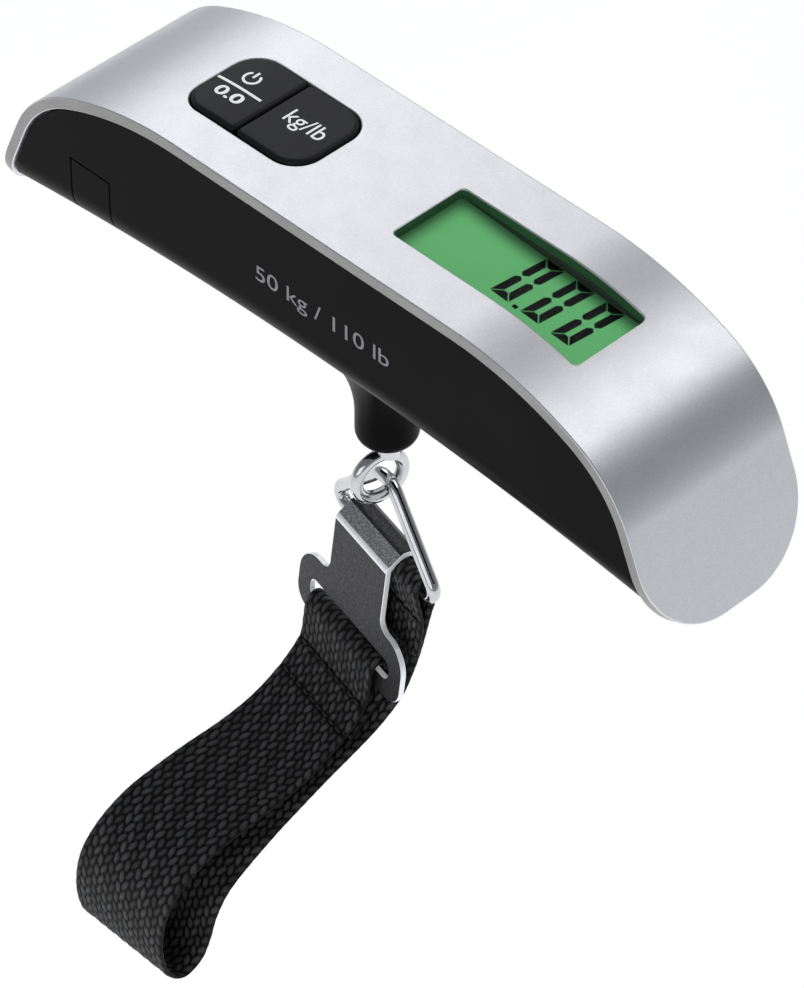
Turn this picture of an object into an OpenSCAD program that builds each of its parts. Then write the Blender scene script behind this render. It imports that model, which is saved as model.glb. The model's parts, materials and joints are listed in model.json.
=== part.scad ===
// Digital luggage scale: an arched grip with a display and two keys on top,
// a swivelling eye below, and a webbing strap with a hook clip on a wire ring.
// +X runs along the grip towards the display end, +Z points up, and the
// origin is the top centre of the cover, where the palm rests.

/* [Arched cover] */
// Width of the cover
cover_w = 33; // [31:0.5:35]
// Thickness of the cover
cover_t = 2; // [1.6:0.1:2.4]
// Half length of the level middle of the arch
flat_half = 29; // [28:0.5:32]
// Radius of the first, gentle bend
bend1_r = 60; // [56:1:64]
// Angle of the first bend
bend1_a = 25; // [24:0.5:26]
// Radius of the shoulder bend
bend2_r = 22; // [21:0.5:24]
// Angle of the shoulder bend
bend2_a = 42; // [40:0.5:43]
// Length of the straight tongue past the shoulder
tongue = 20; // [19:0.5:22]
// Corner radius of the tongue's end
tongue_r = 13.6; // [12:0.2:14]

/* [Lower housing] */
// Shadow gap between the cover and the housing
shadow_gap = 0.4; // [0.3:0.1:0.6]
// How far the housing stands in from the cover's long edges
housing_inset = 0.6; // [0.4:0.1:1]
// Wall thickness of the housing
wall = 2; // [1.8:0.1:2.4]
// Height of the underside below the cover's top, at the middle
belly_z = 27.9; // [27.5:0.1:28.5]
// Radius of the arched underside
belly_r = 570; // [540:10:640]
// Radius of the long lower edges
edge_r = 7; // [6:0.5:8]

/* [Neck under the housing] */
// Height of the neck's end below the cover's top
neck_z = 50.5; // [50:0.5:51.5]
// Radius of the neck near its end
neck_r = 5.1; // [5:0.1:5.8]
// Radius of the flare into the housing
flare_r = 24; // [22:0.5:28]
// Height where the flare begins
flare_z = -45; // [-46:0.5:-44]
// Height where the flare turns into a straight cone
cone_z = -33; // [-34:0.5:-32]

/* [Display and keys] */
// Length of the display opening
window_l = 37.7; // [36:0.1:38]
// Width of the display opening
window_w = 14.8; // [14:0.1:15]
// Distance from the middle to the display opening
window_x = 8.2; // [8:0.1:9]
// Left end of the key opening
keys_x0 = -37.4; // [-38:0.1:-37]
// Right end of the key opening
keys_x1 = -11.3; // [-11.5:0.1:-11]
// Width of the key opening
keys_w = 16.6; // [16:0.1:17]
// Corner radius of the key opening
keys_r = 5; // [4.5:0.1:5.5]
// Height of the keys above the cover
key_proud = 0.5; // [0.3:0.1:0.6]
// Travel of a key
key_travel = 0.6; // [0.4:0.1:0.6]

/* [Battery door] */
// Middle of the door along the grip
door_x = -49; // [-49.5:0.1:-48.5]
// Length of the door along the grip
door_l = 24; // [24:0.1:24.6]
// Width of the latch tab
tab_w = 8.5; // [8:0.1:9]
// Clearance around the door
door_gap = 0.3; // [0.25:0.05:0.4]

/* [Hanging hardware] */
// Turn of the ring and strap about the vertical, from the grip's length
hang_yaw = -13; // [-14:0.5:-12]
// Diameter of the swivel shaft
shaft_d = 4; // [3.8:0.1:4]
// Diameter of the ring's wire
wire_d = 2.3; // [2.2:0.1:2.4]
// Height of the ring's base bar
bar_z = -74; // [-74.5:0.1:-73.8]
// Half the base of the ring, measured to the sharp corner
bar_half = 16.3; // [16.2:0.1:16.6]
// Height of the ring's sharp apex
peak_z = -57.2; // [-57.3:0.1:-57.1]
// Thickness of the clip's plate
clip_t = 1.1; // [1:0.1:1.2]
// Forward lean of the clip
clip_lean = 6.5; // [6:0.5:7]
// Width of the webbing
strap_w = 20; // [19:0.5:20]
// Thickness of the webbing
strap_t = 1; // [0.9:0.1:1]

/* [Hidden] */
$fn = 64;
eps = 0.02;
arc_fn = 240;

// Arch: centres and end point of the cover's top line, in X and Z
total_a = bend1_a + bend2_a;
c1 = [flat_half, -bend1_r];
c2 = c1 + (bend1_r - bend2_r) * [sin(bend1_a), cos(bend1_a)];
tip = c2 + bend2_r * [sin(total_a), cos(total_a)] + tongue * [cos(total_a), -sin(total_a)];
deep = bend1_r;
bend1_steps = 14;
bend2_steps = 26;

// Heights inside the housing
board_z = -9.6;
board_t = 1.2;
cell_top = -15;
cell_h = 7.5;
screw_xy = [[-31, 11.3], [-31, -11.3], [56, 8], [56, -8]];
screw_sink = 4.4;
board_screw_xy = [[-38, 10.2], [-38, -10.2], [40, 10], [40, -10]];
window_drop = bend1_r - sqrt(pow(bend1_r, 2) - pow(window_x + window_l - flat_half, 2));
window_tilt = asin(window_drop / window_l);
keys_split = (keys_x0 + keys_x1) / 2 - 0.6;

// Door
door_y = 11;
belly_at_door = -belly_z - pow(door_x, 2) / (2 * belly_r);
door_slope = asin(-door_x / belly_r);

// Wire ring
limb_a = atan((peak_z - bar_z) / bar_half);
apex_r = 4;
corner_r = 1.8;
apex_z = peak_z - apex_r * (1 / cos(limb_a) - 1);
corner_u = bar_half - corner_r / tan(limb_a / 2);

// Swivel eye, offset from the axis because the eye is bent to one side
eye_n = 1.4;
eye_z = -57.7;
eye_r = 4.2;
eye_stock = 1.1;

// Clip
hook_in_r = 2.45;
hook_out_r = hook_in_r + clip_t;
hook_u0 = -9.9;
hook_u1 = 5.4;
clip_mid = (hook_u0 + hook_u1) / 2 - 0.35;
clip_half = 15.5;
clip_l = 22.6;
slot_top = 15.7;
slot_h = 3.6;
slot_half = 11.9;

// Route of the webbing's middle line: [forward of the ring, height, sideways]
route = [
    [1.6, -87, 1.9], [1.0, -84, 1.9], [0.7, -80.5, 1.9], [1.3, -77, 1.9],
    [1.8, -74, 1.9], [1.27, -72.73, 1.9], [0, -72.2, 1.9], [-1.27, -72.73, 1.9],
    [-1.8, -74, 1.9], [-1.6, -76.5, 1.8], [-0.9, -80, 1.5], [-0.2, -84, 1.2],
    [0.6, -88.3, 0.8], [1.7, -92.8, 0.3], [3.0, -96.8, -0.2], [5.2, -100.2, -0.6],
    [8.2, -103.3, -0.8], [12.6, -106.8, -1], [17.6, -110.2, -1], [23, -113.7, -1],
    [28, -117, -1], [33, -121, -1], [37.2, -125.4, -1], [39.6, -130, -1],
    [40.9, -134.5, -1], [42.6, -138.4, -1], [45.6, -140.6, -1], [48.4, -138.6, -1],
    [49.6, -134, -1], [49.5, -129, -1], [48.4, -124.6, -1], [46.2, -121, -1],
    [43.2, -118, -1.1], [39.2, -115.3, -1.2], [34.4, -113.5, -1.4], [29, -111.7, -1.6],
    [23, -109.9, -1.8], [17.6, -107.3, -2], [12.3, -103.3, -2.3], [8.5, -99.2, -2.7],
    [7.5, -95.5, -3], [6.95, -92.4, -3.1], [5.4, -91, -3.1], [3.85, -92.4, -3.1],
    [3.9, -95.5, -3], [5.2, -98.6, -2.8], [7.4, -100.7, -2.6], [11.2, -104.4, -2.3]
];
route_steps = 2;

// ---- arch helpers, drawn in X and Z ----
function arc_points(c, r, a0, a1, n) =
    [for (i = [0:n]) let (a = a0 + (a1 - a0) * i / n) c + r * [sin(a), cos(a)]];

// The arch's line at depth d, from its middle to past the tongue's end
function arch_line(d) = concat(
    arc_points(c1, bend1_r - d, 0, bend1_a, bend1_steps),
    arc_points(c2, bend2_r - d, bend1_a, total_a, bend2_steps),
    [tip + 8 * [cos(total_a), -sin(total_a)] - d * [sin(total_a), cos(total_a)]]
);
function flipped(points) = [for (i = [len(points) - 1:-1:0]) [-points[i][0], points[i][1]]];
function backwards(points) = [for (i = [len(points) - 1:-1:0]) points[i]];

// Everything at depth d or more under the arch, between y0 and y1
module under_arch(d, y0, y1) {
    edge = arch_line(d);
    foot = edge[len(edge) - 1][0];
    translate([0, y1, 0]) rotate([90, 0, 0]) linear_extrude(y1 - y0)
        polygon(concat(flipped(edge), edge, [[foot, -deep], [-foot, -deep]]));
}

// The layer between two depths under the arch
module arch_layer(d0, d1, y0, y1) {
    top = concat(flipped(arch_line(d0)), arch_line(d0));
    bottom = concat(flipped(arch_line(d1)), arch_line(d1));
    translate([0, y1, 0]) rotate([90, 0, 0]) linear_extrude(y1 - y0)
        polygon(concat(top, backwards(bottom)));
}

module tongue_outline(inset) {
    hw = cover_w / 2 - inset;
    r = tongue_r - inset;
    reach = 140;
    translate([-reach, -hw]) square([reach - inset - r, 2 * hw]);
    translate([-inset - r - eps, -(hw - r)]) square([r + eps, 2 * (hw - r)]);
    for (s = [-1, 1]) translate([-inset - r, s * (hw - r)]) circle(r = r, $fn = arc_fn);
}

module end_prism(inset) {
    translate([tip[0], 0, tip[1]]) rotate([0, total_a, 0])
        translate([0, 0, -150]) linear_extrude(175) tongue_outline(inset);
}

module between_ends(inset) {
    intersection() {
        end_prism(inset);
        mirror([1, 0, 0]) end_prism(inset);
    }
}

module rounded(l, w, r) {
    translate([-l / 2 + r, -w / 2]) square([l - 2 * r, w]);
    translate([-l / 2, -w / 2 + r]) square([l, w - 2 * r]);
    for (sx = [-1, 1]) for (sy = [-1, 1])
        translate([sx * (l / 2 - r), sy * (w / 2 - r)]) circle(r = r);
}

// ---- housing helpers ----
// A trough that follows the arched underside, with rounded long edges
module trough(inset) {
    hw = cover_w / 2 - housing_inset - inset;
    r = edge_r - inset;
    r0 = belly_r + inset;
    sweep = 20;
    translate([0, 0, -belly_z - belly_r]) rotate([90, 0, 0]) rotate([0, 0, 90 - sweep / 2])
        rotate_extrude(angle = sweep, $fn = 720) {
            translate([r0 + r, -hw]) square([45, 2 * hw]);
            translate([r0, -(hw - r)]) square([r + eps, 2 * (hw - r)]);
            for (s = [-1, 1]) translate([r0 + r, s * (hw - r)]) circle(r = r);
        }
}

module housing_solid(inset, lift) {
    intersection() {
        trough(inset);
        under_arch(cover_t + shadow_gap - lift, -20, 20);
        between_ends(housing_inset + inset - 0.05);
    }
}

// Half outline of the neck: a round flare below, then a straight cone into the belly
module neck_profile(offset_in, top) {
    rise = cone_z - flare_z;
    across = sqrt(pow(flare_r, 2) - pow(rise, 2));
    cone_r = neck_r + flare_r - across - offset_in;
    difference() {
        translate([0, -neck_z]) square([12, neck_z + cone_z]);
        translate([neck_r + flare_r, flare_z]) circle(r = flare_r + offset_in, $fn = arc_fn);
        translate([neck_r - offset_in, -neck_z - 1]) square([20, flare_z + neck_z + 1]);
    }
    polygon([
        [0, cone_z - 0.5],
        [cone_r - 0.5, cone_z - 0.5],
        [cone_r, cone_z],
        [cone_r + (top - cone_z) * rise / across, top],
        [0, top]
    ]);
}

module neck_outer() {
    foot_r = 2.4;
    rotate_extrude($fn = 96) intersection() {
        neck_profile(0, -26);
        union() {
            translate([0, -neck_z + foot_r]) square([20, 40]);
            translate([0, -neck_z]) square([neck_r - foot_r, 5]);
            translate([neck_r - foot_r, -neck_z + foot_r]) circle(r = foot_r);
        }
    }
}

module neck_inner() {
    rotate_extrude($fn = 96) intersection() {
        neck_profile(wall + 0.2, -24);
        translate([0, -45]) square([20, 30]);
    }
}

// Space taken by the battery door, with its latch tab on the near side
module door_space(gap) {
    l = door_l + 2 * gap;
    translate([door_x - l / 2, -13 - gap, -40]) cube([l, door_y + 13 + 2 * gap, 16]);
    tw = tab_w + 2 * gap;
    translate([door_x - tw / 2, -20, -40]) cube([tw, 7.5, 22.8 + gap]);
}

// ---- covers and housing ----
module top_cover() {
    color([0.86, 0.87, 0.89]) difference() {
        intersection() {
            arch_layer(0, cover_t, -cover_w / 2, cover_w / 2);
            between_ends(0);
        }
        in_window() translate([0, 0, -9]) linear_extrude(14) rounded(window_l, window_w, 1);
        key_opening(0, -9, 5);
    }
}

module in_window() {
    translate([window_x + window_l * cos(window_tilt) / 2, 0, -window_drop / 2])
        rotate([0, window_tilt, 0]) children();
}

module key_opening(grow, z0, z1) {
    translate([(keys_x0 + keys_x1) / 2, 0, z0]) linear_extrude(z1 - z0)
        rounded(keys_x1 - keys_x0 + 2 * grow, keys_w + 2 * grow, keys_r + grow);
}

module inner_frame() {
    half_w = cover_w / 2 - housing_inset - wall - 0.3;
    color([0.16, 0.16, 0.17]) difference() {
        union() {
            intersection() {
                arch_layer(cover_t, cover_t + 1.4, -half_w, half_w);
                translate([-45, -20, -20]) cube([105, 40, 25]);
            }
            intersection() {
                union() {
                    for (p = screw_xy) translate([p[0], p[1], -21.9]) cylinder(r = 2.2, h = 21);
                    for (p = board_screw_xy)
                        translate([p[0], p[1], board_z]) cylinder(r = 2.1, h = 9);
                }
                under_arch(cover_t, -20, 20);
            }
        }
        in_window() translate([0, 0, -9]) linear_extrude(14) rounded(window_l, window_w, 1);
        key_opening(1.3, -9, 5);
        for (p = screw_xy) translate([p[0], p[1], -22]) cylinder(r = 1.15, h = 11);
        for (p = board_screw_xy) translate([p[0], p[1], board_z - eps]) cylinder(r = 0.85, h = 4);
    }
}

module lower_housing() {
    color([0.1, 0.1, 0.11]) difference() {
        union() {
            difference() {
                union() {
                    housing_solid(0, 0);
                    neck_outer();
                }
                housing_solid(wall, 3);
                neck_inner();
            }
            intersection() {
                housing_solid(wall / 2, 0);
                union() {
                    for (p = screw_xy) translate([p[0], p[1], -35]) cylinder(r = 3.6, h = 13);
                    translate([37, -6, -35]) cube([15, 12, 35 + cell_top - cell_h]);
                }
            }
        }
        translate([0, 0, -neck_z - 1]) cylinder(r = 2.3, h = 8);
        door_space(door_gap);
        for (p = screw_xy) {
            belly = -belly_z - pow(p[0], 2) / (2 * belly_r);
            translate([p[0], p[1], -40]) cylinder(r = 2.7, h = 40 + belly + screw_sink);
            translate([p[0], p[1], -40]) cylinder(r = 1.4, h = 20);
        }
        for (x = [41.5, 48]) translate([x, 0, -31 + eps]) cylinder(r = 1.5, h = 20);
    }
}

module battery_door() {
    color([0.12, 0.12, 0.13]) intersection() {
        difference() {
            housing_solid(0, 0);
            housing_solid(wall, 3);
        }
        door_space(0);
    }
}

module housing_screws() {
    color("silver") for (p = screw_xy) {
        seat = -belly_z - pow(p[0], 2) / (2 * belly_r) + screw_sink;
        translate([p[0], p[1], seat - 1.5]) difference() {
            cylinder(r = 2.4, h = 1.5);
            for (a = [0, 90]) rotate([0, 0, a]) translate([-1.6, -0.3, -eps]) cube([3.2, 0.6, 0.8]);
        }
        translate([p[0], p[1], seat - eps]) cylinder(r = 1.1, h = 12);
    }
}

// ---- keys ----
module key_solid(x0, x1) {
    clear = 0.3;
    difference() {
        intersection() {
            union() {
                intersection() {
                    under_arch(-key_proud, -20, 20);
                    key_opening(-clear, -3.4, 5);
                }
                intersection() {
                    arch_layer(cover_t + 0.1, cover_t + 0.9, -20, 20);
                    key_opening(0.9, -6, 5);
                }
            }
            translate([x0, -20, -20]) cube([x1 - x0, 40, 40]);
        }
        translate([-60, -20, -20]) cube([60, 40, 15]);
    }
}

module key_stem(x) {
    translate([x, 0, -4.7]) cylinder(r = 1.8, h = 2.5);
}

module key_power() {
    color([0.17, 0.17, 0.18]) {
        key_solid(keys_x0 - 5, keys_split - 0.15);
        key_stem(-31);
    }
}

module key_unit() {
    color([0.17, 0.17, 0.18]) {
        key_solid(keys_split + 0.15, keys_x1 + 5);
        key_stem(-18.2);
    }
}

// ---- display ----
module display_lens() {
    color([0.8, 0.9, 0.85, 0.4]) in_window() translate([0, 0, -1.7])
        linear_extrude(0.8) rounded(window_l - 0.4, window_w - 0.3, 0.9);
}

module display_glass() {
    color([0.42, 0.72, 0.46]) in_window() translate([0, 0, -3.55])
        linear_extrude(1.8) rounded(window_l - 0.4, window_w - 0.3, 0.5);
}

module backlight_panel() {
    color([0.9, 0.95, 0.85]) in_window() translate([0, 0, -6])
        linear_extrude(2.4) rounded(window_l - 1, 10.8, 0.5);
}

module contact_strips() {
    color([0.75, 0.6, 0.6]) difference() {
        in_window() for (s = [-1, 1])
            translate([-17.5, s * 6.3 - 0.7, -9.6]) cube([35, 1.4, 6]);
        translate([0, -20, board_z - 5]) cube([60, 40, 5]);
    }
}

// ---- electronics ----
module circuit_board() {
    color([0.1, 0.4, 0.2]) difference() {
        translate([-40, -12, board_z - board_t]) cube([84, 24, board_t]);
        for (p = screw_xy) translate([p[0], p[1], board_z - 5]) cylinder(r = 3.1, h = 10);
        for (p = board_screw_xy) translate([p[0], p[1], board_z - 5]) cylinder(r = 0.95, h = 10);
    }
}

module control_chip() {
    color([0.08, 0.08, 0.08]) {
        translate([-9, -5, board_z]) cube([10, 10, 1.4]);
        for (s = [-1, 1]) for (i = [0:7])
            translate([-7.8 + i * 1.1, s * 5.5 - 0.5, board_z]) cube([0.4, 1, 0.3]);
    }
}

module key_switches() {
    color([0.2, 0.2, 0.22]) for (x = [-31, -18.2]) {
        translate([x - 3, -3, board_z]) cube([6, 6, 3.5]);
        translate([x, 0, board_z + 3.5]) cylinder(r = 1.7, h = 0.6);
    }
}

module board_screws() {
    color("silver") for (p = board_screw_xy) {
        translate([p[0], p[1], board_z - board_t - 1.2]) cylinder(r = 1.8, h = 1.2);
        translate([p[0], p[1], board_z - board_t - eps]) cylinder(r = 0.8, h = 4.5);
    }
}

// ---- weighing beam ----
module load_cell() {
    mid_z = cell_top - cell_h / 2;
    color([0.8, 0.82, 0.84]) difference() {
        translate([-8, -6, cell_top - cell_h]) cube([60, 12, cell_h]);
        for (x = [16, 26]) translate([x, 0, mid_z]) rotate([90, 0, 0])
            cylinder(r = 2.9, h = 14, center = true);
        translate([16, -7, mid_z - 0.8]) cube([10, 14, 1.6]);
        translate([0, 0, -30]) cylinder(d = shaft_d + 0.1, h = 20);
        for (x = [41.5, 48]) translate([x, 0, -30]) cylinder(r = 1.6, h = 20);
    }
}

module strain_gauges() {
    color([0.85, 0.6, 0.2]) for (x = [16, 26]) {
        translate([x - 2.5, -2, cell_top]) cube([5, 4, 0.2]);
        translate([x - 2.5, -2, cell_top - cell_h - 0.2]) cube([5, 4, 0.2]);
    }
}

module signal_wires() {
    gap = board_z - board_t - cell_top;
    color([0.7, 0.1, 0.1]) for (y = [-4.5, -3.1, 3.1, 4.5])
        translate([21, y, cell_top]) cylinder(r = 0.35, h = gap);
}

module load_cell_screws() {
    color("silver") for (x = [41.5, 48]) {
        translate([x, 0, cell_top]) difference() {
            cylinder(r = 2.8, h = 2.6);
            translate([0, 0, 1.2]) cylinder(r = 1.4, h = 2, $fn = 6);
        }
        translate([x, 0, cell_top - 13]) cylinder(r = 1.45, h = 13 + eps);
    }
}

// ---- battery ----
module battery_tray() {
    color([0.2, 0.2, 0.22]) translate([door_x, 0, 0]) difference() {
        union() {
            translate([0, 0, -26.9]) cylinder(r = 11.3, h = 4.1);
            for (x = [-9, 7]) translate([x, -13.7, -24]) cube([2, 27.4, 1.2]);
        }
        translate([0, 0, -27.3]) cylinder(r = 10.15, h = 3.5);
        translate([0, 0, -30]) cylinder(r = 4, h = 10);
        translate([-1.6, -6.6, -30]) cube([15.6, 3.2, 10]);
        translate([9.8, -2, -30]) cube([4, 4, 10]);
    }
}

module coin_cell() {
    color([0.78, 0.79, 0.8]) translate([door_x, 0, -27.2]) {
        cylinder(r = 10, h = 2.8);
        translate([0, 0, 2.8 - eps]) cylinder(r = 8.4, h = 0.4);
    }
}

module battery_contact_negative() {
    color([0.8, 0.75, 0.6]) {
        translate([door_x, 0, -23.98]) cylinder(r = 3, h = 0.3);
        translate([door_x - 1.2, -6.2, -23.98]) cube([2.4, 6, 0.3]);
        translate([door_x, -6.2, -23.98]) cube([10.6, 2.4, 0.3]);
        translate([door_x + 10.3, -6.2, -23.98]) cube([0.3, 2.4, 23.98 + board_z - board_t]);
    }
}

module battery_contact_positive() {
    color([0.8, 0.75, 0.6]) {
        translate([door_x + 10.02, -1.2, -26.6]) cube([0.3, 2.4, 26.6 + board_z - board_t]);
        translate([door_x + 10.02, -1.2, -26.6]) cube([1.4, 2.4, 0.3]);
    }
}

// ---- swivel ----
module hanging() {
    rotate([0, 0, hang_yaw]) children();
}

module swivel_eye() {
    color([0.85, 0.86, 0.88]) hanging() {
        difference() {
            translate([0, 0, eye_z + eye_r - 0.5])
                cylinder(d = shaft_d, h = -11.6 - eye_z - eye_r + 0.5);
            translate([0, -eye_n, eye_z]) rotate([0, 90, 0])
                cylinder(r = eye_r, h = 10, center = true);
        }
        translate([0, -eye_n, eye_z]) rotate([0, 90, 0])
            rotate_extrude() translate([eye_r, 0]) circle(r = eye_stock, $fn = 32);
    }
}

module swivel_nut() {
    color([0.75, 0.76, 0.78]) translate([0, 0, cell_top + 0.75]) difference() {
        cylinder(r = 4, h = 2.6, $fn = 6);
        translate([0, 0, -1]) cylinder(d = shaft_d + 0.06, h = 5);
    }
}

module thrust_washer() {
    color([0.7, 0.6, 0.35]) translate([0, 0, cell_top + 0.05]) difference() {
        cylinder(r = 4.6, h = 0.7);
        translate([0, 0, -1]) cylinder(d = shaft_d + 0.1, h = 3);
    }
}

// ---- wire ring, drawn in its own plane ----
module wire_run(a, b) {
    run = b - a;
    translate([a[0], 0, a[1]]) rotate([0, atan2(run[0], run[1]), 0])
        cylinder(d = wire_d, h = norm(run));
}

module wire_bend(c, r, a0, sweep) {
    translate([c[0], 0, c[1]]) rotate([90, 0, 0]) rotate([0, 0, a0])
        rotate_extrude(angle = sweep) translate([r, 0]) circle(d = wire_d);
}

module wire_ring() {
    apex_c = [0, apex_z - apex_r];
    foot_c = [corner_u, bar_z + corner_r];
    apex_end = apex_c + apex_r * [sin(limb_a), cos(limb_a)];
    foot_end = foot_c + corner_r * [sin(limb_a), cos(limb_a)];
    color([0.85, 0.86, 0.88]) hanging() {
        wire_bend(apex_c, apex_r, 90 - limb_a, 2 * limb_a);
        for (s = [-1, 1])
            wire_run([s * apex_end[0], apex_end[1]], [s * foot_end[0], foot_end[1]]);
        wire_bend(foot_c, corner_r, -90, 180 - limb_a);
        wire_bend([-corner_u, bar_z + corner_r], corner_r, 90 + limb_a, 180 - limb_a);
        wire_run([-corner_u, bar_z], [corner_u, bar_z]);
    }
}

// ---- clip, hooked over the ring's base bar ----
module clip_outline() {
    shoulder = 5;
    foot = 3.5;
    neck = 2.2;
    top = 11.2;
    translate([hook_u0, -clip_l + 5]) square([hook_u1 - hook_u0, clip_l - 5]);
    translate([clip_mid, 0]) {
        translate([-clip_half, -clip_l + foot])
            square([2 * clip_half, clip_l - top - shoulder - foot]);
        translate([-clip_half + shoulder, -top - shoulder - eps])
            square([2 * (clip_half - shoulder), shoulder + eps]);
        translate([-clip_half + foot, -clip_l]) square([2 * (clip_half - foot), foot + eps]);
        for (s = [-1, 1]) {
            translate([s * (clip_half - shoulder), -top - shoulder]) circle(r = shoulder);
            translate([s * (clip_half - foot), -clip_l + foot]) circle(r = foot);
        }
    }
    for (e = [[hook_u0, -1], [hook_u1, 1]]) translate([e[0], -top]) difference() {
        translate([e[1] > 0 ? -eps : -neck, -eps]) square([neck + eps, neck + eps]);
        translate([e[1] * neck, neck]) circle(r = neck);
    }
}

module strap_clip() {
    color([0.5, 0.5, 0.52]) hanging() translate([0, 0, bar_z]) {
        rotate([-clip_lean, 0, 0]) {
            translate([0, -hook_in_r, 0]) rotate([90, 0, 0]) linear_extrude(clip_t) difference() {
                clip_outline();
                translate([clip_mid, -slot_top - slot_h / 2]) rounded(2 * slot_half, slot_h, 1.5);
            }
            translate([hook_u0, 0, 0]) rotate([90, 0, 90]) linear_extrude(hook_u1 - hook_u0)
                difference() {
                    union() {
                        intersection() {
                            circle(r = hook_out_r);
                            translate([-5, 0]) square([10, 5]);
                        }
                        translate([hook_in_r, -2.4]) square([clip_t, 2.4 + eps]);
                    }
                    circle(r = hook_in_r);
                    translate([-hook_in_r, -3]) square([2 * hook_in_r, 3]);
                }
        }
    }
}

// ---- webbing: a flat strip swept along its route ----
function spline(p0, p1, p2, p3, t) =
    0.5 * (2 * p1 + (p2 - p0) * t + (2 * p0 - 5 * p1 + 4 * p2 - p3) * t * t
        + (3 * p1 - p0 - 3 * p2 + p3) * t * t * t);
last = len(route) - 1;
line = [
    for (i = [0:last - 1]) for (k = [0:route_steps - 1])
        spline(route[max(i - 1, 0)], route[i], route[i + 1], route[min(i + 2, last)], k / route_steps),
    route[last]
];
rings = len(line);
function along(i) =
    let (d = line[min(i + 1, rings - 1)] - line[max(i - 1, 0)])
    [d[0], d[1]] / norm([d[0], d[1]]);
function strip_ring(i, w, t) =
    let (p = line[i], d = along(i), m = [-d[1], d[0]] * t / 2)
    [
        [p[2] - w / 2, -(p[0] + m[0]), p[1] + m[1]],
        [p[2] + w / 2, -(p[0] + m[0]), p[1] + m[1]],
        [p[2] + w / 2, -(p[0] - m[0]), p[1] - m[1]],
        [p[2] - w / 2, -(p[0] - m[0]), p[1] - m[1]]
    ];

module strap_webbing() {
    points = [for (i = [0:rings - 1]) each strip_ring(i, strap_w, strap_t)];
    sides = [
        for (i = [0:rings - 2]) for (k = [0:3])
            let (a = 4 * i + k, b = 4 * i + (k + 1) % 4)
            each [[a, b, b + 4], [a, b + 4, a + 4]]
    ];
    end = 4 * (rings - 1);
    caps = [[3, 2, 1], [3, 1, 0], [end, end + 1, end + 2], [end, end + 2, end + 3]];
    color([0.2, 0.2, 0.21]) hanging() polyhedron(points, concat(sides, caps), convexity = 8);
}

// Rows of thread across the doubled ends of the webbing
module stitch_row(index, depth) {
    p = line[index];
    d = along(index);
    hanging() translate([p[2], -p[0], p[1]]) rotate([atan2(-d[0], -d[1]), 0, 0])
        for (i = [-4:4]) translate([i * 2, depth, 0]) cube([1.3, 0.5, 0.5], center = true);
}

module strap_stitching() {
    color([0.25, 0.25, 0.26]) {
        stitch_row(route_steps * 2, 0.4);
        stitch_row(route_steps * 39, 0.4);
        stitch_row(route_steps * 38, 0.4);
    }
}

top_cover();
inner_frame();
lower_housing();
key_power();
key_unit();
display_lens();
display_glass();
backlight_panel();
contact_strips();
circuit_board();
control_chip();
key_switches();
board_screws();
load_cell();
strain_gauges();
signal_wires();
load_cell_screws();
housing_screws();
battery_tray();
coin_cell();
battery_contact_negative();
battery_contact_positive();
battery_door();
swivel_eye();
swivel_nut();
thrust_washer();
wire_ring();
strap_clip();
strap_webbing();
strap_stitching();
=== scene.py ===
"""Looks of the digital luggage scale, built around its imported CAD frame.

Everything is in metres in the part's own frame: +X along the grip towards the
display end, +Z up, the origin at the top centre of the cover. Sizes below are
named in millimetres and turned into metres by MM.
"""

import json
import math

import bmesh
import bpy
from mathutils import Matrix, Vector


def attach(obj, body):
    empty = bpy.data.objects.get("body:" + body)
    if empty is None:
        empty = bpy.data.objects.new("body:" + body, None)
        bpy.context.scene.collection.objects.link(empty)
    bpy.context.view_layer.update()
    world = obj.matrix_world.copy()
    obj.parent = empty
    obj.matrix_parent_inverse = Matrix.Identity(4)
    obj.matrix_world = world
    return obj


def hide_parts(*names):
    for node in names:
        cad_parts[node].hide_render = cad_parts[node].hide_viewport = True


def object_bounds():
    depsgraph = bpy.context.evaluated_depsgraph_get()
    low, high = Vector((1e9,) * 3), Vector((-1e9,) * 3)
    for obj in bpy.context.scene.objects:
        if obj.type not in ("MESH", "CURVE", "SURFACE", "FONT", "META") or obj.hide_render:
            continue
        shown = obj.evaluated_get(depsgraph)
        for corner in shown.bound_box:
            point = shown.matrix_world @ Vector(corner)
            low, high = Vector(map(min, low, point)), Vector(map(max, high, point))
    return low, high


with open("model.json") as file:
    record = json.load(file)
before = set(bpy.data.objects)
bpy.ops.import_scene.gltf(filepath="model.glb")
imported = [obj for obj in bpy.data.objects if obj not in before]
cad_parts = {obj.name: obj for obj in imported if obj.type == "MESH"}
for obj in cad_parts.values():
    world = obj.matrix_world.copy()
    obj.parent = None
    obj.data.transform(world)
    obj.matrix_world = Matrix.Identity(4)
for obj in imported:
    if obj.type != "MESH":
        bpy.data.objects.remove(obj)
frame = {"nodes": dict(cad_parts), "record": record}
cad_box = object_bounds()
scene = bpy.context.scene
MM = 0.001

# ---------------------------------------------------------------- sizes, in millimetres
# Cover: a flat middle, then two bends and a straight round-ended tongue towards each end
COVER_W = 33
COVER_T = 2
COVER_EDGE_R = 0.28
FLAT = 29
BEND1_R = 60
BEND1_A = math.radians(25)
BEND2_R = 22
BEND2_A = math.radians(42)
TONGUE = 20
TONGUE_R = 13.6
HALF_ARC = FLAT + BEND1_R * BEND1_A + BEND2_R * BEND2_A + TONGUE

# Housing: a little narrower than the cover, below a thin shadow gap, with a shallow curved belly
SHADOW_GAP = 0.4
HOUSING_INSET = 0.6
HOUSING_EDGE = 0.22
WALL = 2
BELLY_Z = 27.9
BELLY_R = 570
EDGE_R = 7
UNDER_Z = -40

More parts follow.
